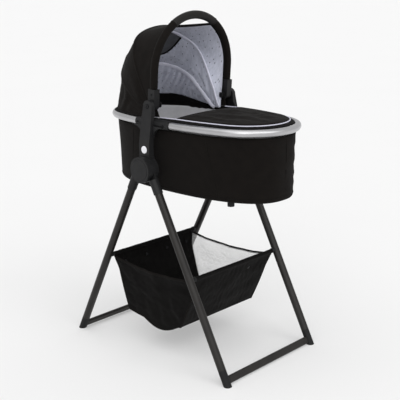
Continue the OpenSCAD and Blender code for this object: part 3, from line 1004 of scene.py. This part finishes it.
def make_hood(cloth, jersey, tape, elastic, net):
    """Outer cover and lining, each of three panels sewn at the two bows."""
    fan = [(("handle", "upper_bow_body"), FRONT_OUT, BOW_A_OUT, FRONT_IN, BOW_A_IN, "front"),
           (("upper_bow_body", "lower_bow_body"), BOW_A_OUT, BOW_B_OUT, BOW_A_IN, BOW_B_IN, "middle"),
           (("lower_bow_body", "carrycot"), BOW_B_OUT, HEM_OUT, BOW_B_IN, BAND_TOP, "rear")]
    outer_look = {"front": (1, 1.2, 5), "middle": (-5, 2.6, 6), "rear": (3, 3.2, 8)}
    inner_look = {"front": (0, 1.5, 6), "middle": (3, 3.0, 11), "rear": (7, 6.0, 26)}
    for seed, (bodies, a_out, b_out, a_in, b_in, part) in enumerate(fan):
        panel = hood_panel(f"hood_cover_{part}", a_out, b_out, cloth, *outer_look[part], seed + 0.5)
        bend_panel(panel, [f"hood_{part}_panel"])
        lining = hood_panel(f"hood_lining_{part}", a_in, b_in, jersey, *inner_look[part], seed + 7.5,
                            22, False)
        bend_panel(lining)
    for bow, line in (("upper", BOW_A_IN), ("lower", BOW_B_IN)):
        path = resample(line, 90)
        outs = [(HOOD_CORE - p).normalized() for p in path]
        path = [p + o * 2.5 * MM for p, o in zip(path, outs)]
        band = sweep(f"{bow}_bow_tape", path, oval_section(18 * MM, 8 * MM), outs, tape)
        settle(band, f"{bow}_bow_body")
    for bow, line in (("upper", BOW_A_OUT), ("lower", BOW_B_OUT)):
        path = resample(line, 110)[3:-3]
        outs = [(p - HOOD_CORE).normalized() for p in path]
        channel = sweep(f"{bow}_bow_channel", path, oval_section(15 * MM, 2.6 * MM), outs, cloth)
        settle(channel, f"{bow}_bow_body")
    make_hood_hem(elastic)
    make_inner_band(elastic)
    make_front_hem(elastic)
    make_vent(net, elastic)


def make_hood_hem(elastic):
    """Elasticated hem that grips the rim behind the uprights."""
    rows = []
    for inset, z in ((5, 4.5), (2, 3.2), (-3, 0.6), (-7.5, -3.0)):
        line = rim_stretch(inset * MM, RIM_TOP + z * MM, PIVOT.x - 92 * MM, True, 260)
        rows.append([p + Vector((0, 0, 0.35 * MM * math.sin(i * 1.15)))
                     for i, p in enumerate(line)])
    hem = cloth_mesh("hood_hem", rows, elastic, False, Vector((COT_X, 0, RIM_Z)), 1.4 * MM)
    settle(hem, "carrycot")


def make_inner_band(elastic):
    """Dark band inside the hood between the lining and the rim."""
    steps = 8
    rows = [[b.lerp(a, j / steps) + (HOOD_CORE - b).normalized() * crumple(b, 55, 2.5, j * 0.2)
             for a, b in zip(HEM_IN, BAND_TOP)] for j in range(steps + 1)]
    band = cloth_mesh("hood_inner_band", rows, elastic, False, HOOD_CORE, 1.2 * MM)
    settle(band, "carrycot")


def make_front_hem(elastic):
    """Bound front edge of the hood between the handle's legs."""
    path = [p for p in FRONT_OUT if p.z > PIVOT.z + 286 * MM and abs(p.y) < 118 * MM]
    path = [p - Vector((0, 0, 4 * MM + 1.5 * MM * hump((p.y + 0.118) / 0.236))) for p in resample(path, 50)]
    hem = sweep("hood_front_hem", path, oval_section(6 * MM, 10 * MM), Vector((0, 0, 1)), elastic)
    settle(hem, "handle")


VENT_HALF = 0.1
VENT_DEPTH = 0.66


def vent_point(across, share, lift):
    """Point on the middle lining panel, in the vent's own half oval."""
    t = 0.5 + VENT_HALF * across
    s = 0.04 + VENT_DEPTH * share * math.sqrt(max(0.0, 1 - abs(across) ** 5))
    p = stretched_point(BOW_A_IN, BOW_B_IN, t, s, 3 * MM, 3.0 * MM, 11, 8.5)
    return p + (HOOD_CORE - p).normalized() * lift


def make_vent(net, elastic):
    """Net window in the lining at the top of the hood, with a bound edge."""
    rows = [[vent_point(-1 + 2 * i / 60, j / 20, 2.2 * MM) for i in range(61)] for j in range(21)]
    window = cloth_mesh("vent_net", rows, net, False, HOOD_CORE, 0.6 * MM)
    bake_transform(window)
    edge = [vent_point(-1 + 2 * i / 70, 1.0, 3.2 * MM) for i in range(71)]
    start_side = [vent_point(-1, j / 8, 3.2 * MM) for j in range(8)]
    end_side = [vent_point(1, j / 8, 3.2 * MM) for j in range(8)][::-1]
    path = resample(start_side + edge + end_side, 90)
    outs = [(HOOD_CORE - p).normalized() for p in path]
    binding = sweep("vent_binding", path, oval_section(9 * MM, 3 * MM), outs, elastic)
    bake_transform(binding)


# ---- handle ----

def arch_point(turn, out=0.0):
    """Point of the handle's arch; the turn goes from 0 at the near leg to pi at the far one."""
    radius = ARCH_R + out
    return turned(-radius * math.cos(turn), ARCH_LEG + radius * math.sin(turn), -ARCH_LEAN)


def make_grip(leather, thread):
    """Leatherette grip: padded, drawn in at both ends, with a sewn seam underneath."""
    count = 72
    turns = [math.pi / 2 + GRIP_HALF * (-1 + 2 * i / count) for i in range(count + 1)]
    path = [arch_point(turn) for turn in turns]
    outs = [(arch_point(turn, 10 * MM) - p).normalized() for turn, p in zip(turns, path)]

    def section(share):
        pad = ease(min(share, 1 - share) / 0.035)
        return ring_section(lambda angle: GRIP_R - 1.4 * MM * (1 - pad), 36)

    grip = sweep("leather_grip", path, section, outs, leather)
    stand_for(grip, "handle_grip")
    seam_turns = turns[2:-2]
    seam_path = [arch_point(turn, -GRIP_R - 0.2 * MM) for turn in seam_turns]
    seam_outs = [(arch_point(turn, 10 * MM) - arch_point(turn)).normalized() for turn in seam_turns]
    seam = sweep("grip_seam", seam_path, oval_section(3.4 * MM, 1.8 * MM, 8), seam_outs, leather)
    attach(seam, "handle")
    make_stitches("grip_stitches", seam_path, seam_outs, thread, "handle", 7 * MM, 3.2 * MM)
    for place_name, end in (("near", 0), ("far", count)):
        ring_path = []
        for k in range(40):
            angle = math.tau * k / 40
            side = (path[min(end + 1, count)] - path[max(end - 1, 0)]).cross(outs[end]).normalized()
            around = side * math.cos(angle) + outs[end] * math.sin(angle)
            ring_path.append(path[end] + (GRIP_R - 0.4 * MM) * around)
        ring_outs = [(p - path[end]).normalized() for p in ring_path]
        collar = sweep(f"grip_collar_{place_name}", ring_path, oval_section(5 * MM, 2.6 * MM, 8), ring_outs,
                       leather, True)
        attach(collar, "handle")


STITCH_FACES = ((0, 1, 2), (0, 2, 3), (4, 2, 1), (4, 3, 2), (0, 3, 1), (4, 1, 3))


def make_stitches(name, path, outs, thread, body, pitch, long):
    """Row of thread stitches along a seam."""
    count = int(lengths(path)[-1] / pitch)
    spots = resample(path, count)
    rises = resample(outs, count)
    points, faces = [], []
    for i in range(1, count - 1):
        ahead = (spots[i + 1] - spots[i - 1]).normalized() * long / 2
        out = rises[i].normalized() * -1.1 * MM
        side = ahead.cross(out).normalized() * 0.5 * MM
        first = len(points)
        points += [spots[i] - ahead, spots[i] + side + out * 0.7, spots[i] + out,
                   spots[i] - side + out * 0.7, spots[i] + ahead]
        faces += [tuple(first + k for k in face) for face in STITCH_FACES]
    mesh = bpy.data.meshes.new(name)
    mesh.from_pydata(points, [], faces)
    piece = paint(link(bpy.data.objects.new(name, mesh)), thread)
    tidy_normals(piece)
    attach(piece, body)


def make_arch_sleeves(cloth):
    """Cloth sleeves over the handle's legs, from the end blocks up to the grip, seamed on the inside."""
    for place_name, flip in (("near", 1), ("far", -1)):
        path = [turned(-ARCH_R, BLOCK_TOP - 1 * MM + (ARCH_LEG - BLOCK_TOP) * i / 12, -ARCH_LEAN)
                for i in range(12)]
        end = math.pi / 2 - GRIP_HALF + math.radians(1.2)
        path += [arch_point(end * i / 48) for i in range(49)]
        path = [Vector((p.x, p.y * flip, p.z)) for p in path]
        outs = []
        for p in path:
            high = max(0.0, p.z - PIVOT.z - ARCH_LEG)
            outs.append(Vector((0, p.y, high)).normalized())

        def section(share):
            slack = 1.0 + 0.4 * noise.noise(Vector((share * 26, flip * 3.0, 1.0)))
            draw_in = ease(min(share, 1 - share) / 0.03)

            def radius_at(angle):
                spot = Vector((share * 40, math.cos(angle) * 2, math.sin(angle) * 2 + flip))
                ruck = 0.5 * MM * noise.noise(spot)
                return TUBE_R + 0.6 * MM + (1.1 * MM * slack + ruck) * draw_in

            return ring_section(radius_at, 32)

        sleeve = sweep(f"arch_sleeve_{place_name}", path, section, outs, cloth)
        settle(sleeve, "handle")
        line = [p - o * SLEEVE_SEAM_IN for p, o in zip(path[2:-2], outs[2:-2])]
        seam = sweep(f"sleeve_seam_{place_name}", line, oval_section(3 * MM, 1.6 * MM, 8), outs[2:-2],
                     cloth)
        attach(seam, "handle")


def make_screw(name, centre, side, radius_mm, body, material):
    """Countersunk cross-head screw, looking out of the near or far side."""
    bpy.ops.object.select_all(action="DESELECT")
    bpy.ops.mesh.primitive_cylinder_add(vertices=32, radius=radius_mm * MM, depth=2.4 * MM, location=centre,
                                        rotation=(math.radians(90), 0, 0))
    screw = bpy.context.object
    screw.name = name
    bpy.ops.object.transform_apply(location=True, rotation=True, scale=True)
    bpy.ops.object.mode_set(mode="EDIT")
    bpy.ops.mesh.select_mode(type="FACE")
    bpy.ops.mesh.select_all(action="DESELECT")
    work = bmesh.from_edit_mesh(screw.data)
    for face in work.faces:
        face.select = face.normal.y * side > 0.9
    bmesh.update_edit_mesh(screw.data)
    bpy.ops.mesh.inset(thickness=0.28 * radius_mm * MM)
    bpy.ops.transform.translate(value=(0, side * 0.5 * MM, 0))
    bpy.ops.mesh.inset(thickness=0.3 * radius_mm * MM)
    bpy.ops.transform.translate(value=(0, -side * 1.1 * MM, 0))
    bpy.ops.object.mode_set(mode="OBJECT")
    bevel = screw.modifiers.new("edge", "BEVEL")
    bevel.width = 0.25 * MM
    bevel.segments = 2
    apply_modifiers(screw)
    bpy.ops.object.shade_smooth_by_angle(angle=math.radians(40))
    paint(screw, material)
    settle(screw, body)


# ---- basket ----

END_SPAN = 228 * MM


def end_half(down):
    """Half width of an end panel, by its share of the way down: pulled wide at the rod, straight below."""
    return END_SPAN - 13 * MM * ease(down / 0.3) - 3 * MM * down


def end_x(way, down):
    """Place of an end panel along the cot, bulging a little."""
    rod, foot = (FOOT_ROD_X, FLOOR_X1) if way > 0 else (HEAD_ROD_X, FLOOR_X0)
    return rod + (foot - rod) * down + way * 5 * MM * hump(down) + way * 3 * MM * (1 - ease(down / 0.04))


END_TOP = ROD_Z - 5 * MM
END_LOW = BASKET_Z + 12 * MM


def end_point(way, across, down):
    """Point of an end panel; across goes from -1 on the near side to 1 on the far side."""
    z = END_TOP + (END_LOW - END_TOP) * down
    y = across * end_half(down)
    p = Vector((end_x(way, down), y, z))
    slack = crumple(Vector((y * 0.7, z * 1.5, way)), 55, 5, 2.0)
    slack += crumple(Vector((y * 2, z, way)), 28, 2, 9.0)
    edge = ease((1 - abs(across)) / 0.12) * ease(down / 0.1) * ease((1 - down) / 0.08)
    ledge = 1.6 * MM * (1 - ease((down - 0.2) / 0.015))
    p.x += way * (slack * edge + ledge)
    return p


def side_top(u):
    """Height of a side panel's bound edge, sagging between the ends."""
    return ROD_Z - 12 * MM - 20 * MM * hump(u) ** 0.9


def low_edge(u):
    """How far the basket's lower long edges hang below its end panels."""
    return 12 * MM * hump(u) + 26 * MM * hump(min(1.0, max(0.0, (u - 0.3) / 0.66))) ** 1.2


def side_point(side, u, down):
    """Point of a side panel; u goes from the head end to the foot end."""
    top = side_top(u)
    z = top + (END_LOW - low_edge(u) - top) * down
    end_down = min(1.0, (END_TOP - z) / (END_TOP - END_LOW))
    x = end_x(-1, end_down) * (1 - u) + end_x(1, end_down) * u
    y = end_half(end_down) + 5 * MM * hump(u) * (1 - 0.3 * down)
    ruck = crumple(Vector((x * 0.9, z * 1.3, side)), 60, 7, 1.0)
    ruck += crumple(Vector((x, z * 2, side)), 26, 2.4, 3.0)
    y += ruck * ease(min(u, 1 - u) / 0.08) * ease((1 - down) / 0.1)
    return Vector((x, side * y, z))


def floor_point(u, across):
    """Point of the basket's floor, sewn to the panels' lower edges and sagging a little."""
    x0, x1 = end_x(-1, 1.0), end_x(1, 1.0)
    half = end_half(1.0)
    sag = low_edge(u) + 6 * MM * hump(u) * (1 - across * across)
    crease = crumple(Vector((x0 + u * 0.3, across * 0.2, 0)), 60, 2.5) * hump(u) * (1 - across * across)
    y = across * (half + 5 * MM * hump(u) * 0.7 * abs(across))
    return Vector((x0 + (x1 - x0) * u, y, END_LOW - sag + crease))


def basket_sheet(name, rows, material, inside, nodes=()):
    panel = cloth_mesh(name, rows, material, False, inside, 1.2 * MM)
    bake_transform(panel)
    if nodes:
        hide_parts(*nodes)
    return panel


def basket_binding(name, path, outs, width_mm, thick_mm, material):
    strip = sweep(name, path, oval_section(width_mm * MM, thick_mm * MM, 10), outs, material)
    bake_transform(strip)


def make_basket(cloth, net, tape):
    """Storage basket: end panels sewn round the rods, one cloth side, one net side and a floor."""
    heart = Vector(((FLOOR_X0 + FLOOR_X1) / 2, 0, (ROD_Z + BASKET_Z) / 2))
    for way, end in ((1, "foot"), (-1, "head")):
        rows = [[end_point(way, -1 + 2 * i / 90, j / 48) for i in range(91)] for j in range(49)]
        basket_sheet(f"basket_{end}_cloth", rows, cloth, heart, [f"basket_{end}_panel"])
        make_rod_sleeve(way, end, cloth)
        seam = [end_point(way, -1 + 2 * i / 60, TUNNEL_STITCH) + Vector((way * 1.6 * MM, 0, 0))
                for i in range(61)]
        basket_binding(f"basket_{end}_hem_seam", seam, Vector((way, 0, 0)), 1.8, 1.2, tape)
    for side, place_name, material, slot in ((-1, "near", cloth, "black_fabric"),
                                             (1, "far", net, "mesh_fabric")):
        rows = [[side_point(side, i / 84, j / 44) for i in range(85)] for j in range(45)]
        basket_sheet(f"basket_{place_name}_side", rows, material, heart, ["basket_sides"])
        top = [side_point(side, i / 60, 0.0) for i in range(61)]
        basket_binding(f"basket_{place_name}_binding", top, Vector((0, side, 0)), 11, 3.4, tape)
        for u, end in ((0.0, "head"), (1.0, "foot")):
            edge = [side_point(side, u, 0.04 + 0.96 * j / 30) for j in range(31)]
            out = Vector((2 * u - 1, side, 0)).normalized()
            basket_binding(f"basket_{place_name}_{end}_corner", edge, out, 5, 3, tape)
        low = [side_point(side, i / 60, 1.0) for i in range(61)]
        basket_binding(f"basket_{place_name}_lower_seam", low, Vector((0, side, 0)), 4, 2.6, tape)
    rows = [[floor_point(i / 60, -1 + 2 * j / 70) for i in range(61)] for j in range(71)]
    basket_sheet("basket_floor_cloth", rows, cloth, heart, ["basket_floor"])


def make_rod_sleeve(way, end, cloth):
    """Sewn tunnel of the end panel round its rod, slightly gathered."""
    rod = FOOT_ROD_X if way > 0 else HEAD_ROD_X
    path = [Vector((rod, -END_SPAN + 2 * END_SPAN * i / 110, ROD_Z)) for i in range(111)]

    def section(share):
        def radius_at(angle):
            puff = 0.8 * noise.noise(Vector((share * 34, math.cos(angle), math.sin(angle) + way)))
            return (TUNNEL_R_MM + puff) * MM

        return ring_section(radius_at, 20)

    tunnel = sweep(f"basket_{end}_tunnel", path, section, Vector((0, 0, 1)), cloth)
    settle(tunnel, "root" if way > 0 else "head_frame")


# ---- making it all ----

aim_camera()
light_studio()
lay_floor()

tube = powder_coated_tube()
casing = moulded_polyamide("moulded_polyamide", "#171718", "#1d1d1e")
soft_casing = moulded_polyamide("soft_touch_polyamide", "#121213", "#181819", 0.6)
rubber = foot_rubber()
satin = anodised_aluminium()
steel = blackened_steel()
white = gloss_abs_button()
hood_cloth = woven_cloth("hood_polyester", "#100e0d", "#1b1816")
tub_cloth = woven_cloth("tub_polyester", "#100e0d", "#191614", slub_mm=40)
basket_cloth = woven_cloth("basket_oxford", "#0b0a0a", "#131211", 2.2)
elastic = woven_cloth("ribbed_elastic", "#090808", "#141312", 2.6)
tape = woven_cloth("seam_tape", "#0e0c0b", "#1b1917", 1.4)
bow_tape = woven_cloth("padded_tape", "#c8c8d6", "#e2e2ee", 1.8, 0.1, 0.8)
piping_cord = woven_cloth("satin_piping", "#c0c0d0", "#dadae6", 1.2, 0.2, 0.6)
liner_cloth = woven_cloth("liner_jersey", "#c2c2c4", "#dcdcde", 2.0, 0.1)
mattress_cloth = woven_cloth("mattress_cotton", "#cfcfd0", "#e6e6e6", 2.2, 0.2)
lining = printed_jersey()
leather = stitched_leatherette()
thread = woven_cloth("bonded_thread", "#1d1b19", "#35312e", 0.8)
side_net = open_net("white_net", ("#f4f4f4", "#ffffff"), 4.5, 0.48)
vent_net = woven_cloth("grey_vent_net", "#3c3d40", "#5a5b60", 2.6, 0.1)

LOOKS = {
    tube: ["foot_leg_near", "foot_leg_far", "foot_crossbar", "head_leg_near", "head_leg_far",
           "head_crossbar", "foot_basket_rod", "head_basket_rod", "handle_tube"],
    rubber: ["foot_floor_pads", "head_floor_pads"],
    satin: ["rim_tube"],
    steel: ["hub_pins", "hood_pins", "rim_rivets", "foot_poppers", "head_poppers"],
    soft_casing: ["base_board", "base_feet", "foot_rod_brackets", "head_rod_brackets", "upper_bow",
                  "lower_bow"],
}
for look, nodes in LOOKS.items():
    for node in nodes:
        paint(frame["nodes"][node], look)
        frame["nodes"][node].data.shade_smooth()

for node, edge_mm in (("inner_hub", 2.2), ("outer_hub", 2.2), ("fold_button", 1.5), ("adaptor", 2.4),
                      ("handle_block", 2.6)):
    for place_name in ("near", "far"):
        softened(f"{node}_{place_name}", edge_mm, casing)
for node in ("foot_corner_caps", "head_corner_caps"):
    softened(node, 1.2, soft_casing)
for place_name in ("near", "far"):
    softened(f"release_button_{place_name}", 1.6, white)

make_tub(tub_cloth)
make_tub_seams(tape)
make_rim_hem(elastic)
make_liner(liner_cloth)
make_mattress(mattress_cloth)
make_apron(tub_cloth, elastic, piping_cord)
make_hood(hood_cloth, lining, bow_tape, elastic, vent_net)
make_grip(leather, thread)
make_arch_sleeves(hood_cloth)
for side, place_name in ((-1, "near"), (1, "far")):
    face = Vector((PIVOT.x + 4 * MM, side * (ARCH_R + 14.2 * MM), PIVOT.z + SCREW_UP))
    make_screw(f"block_screw_{place_name}", face, side, 4.5, "handle", steel)
    cap = Vector((PIVOT.x, side * PIN_CAP_Y, PIVOT.z))
    make_screw(f"pivot_cap_{place_name}", cap, side, 7.5, "carrycot", steel)
make_basket(basket_cloth, side_net, tape)
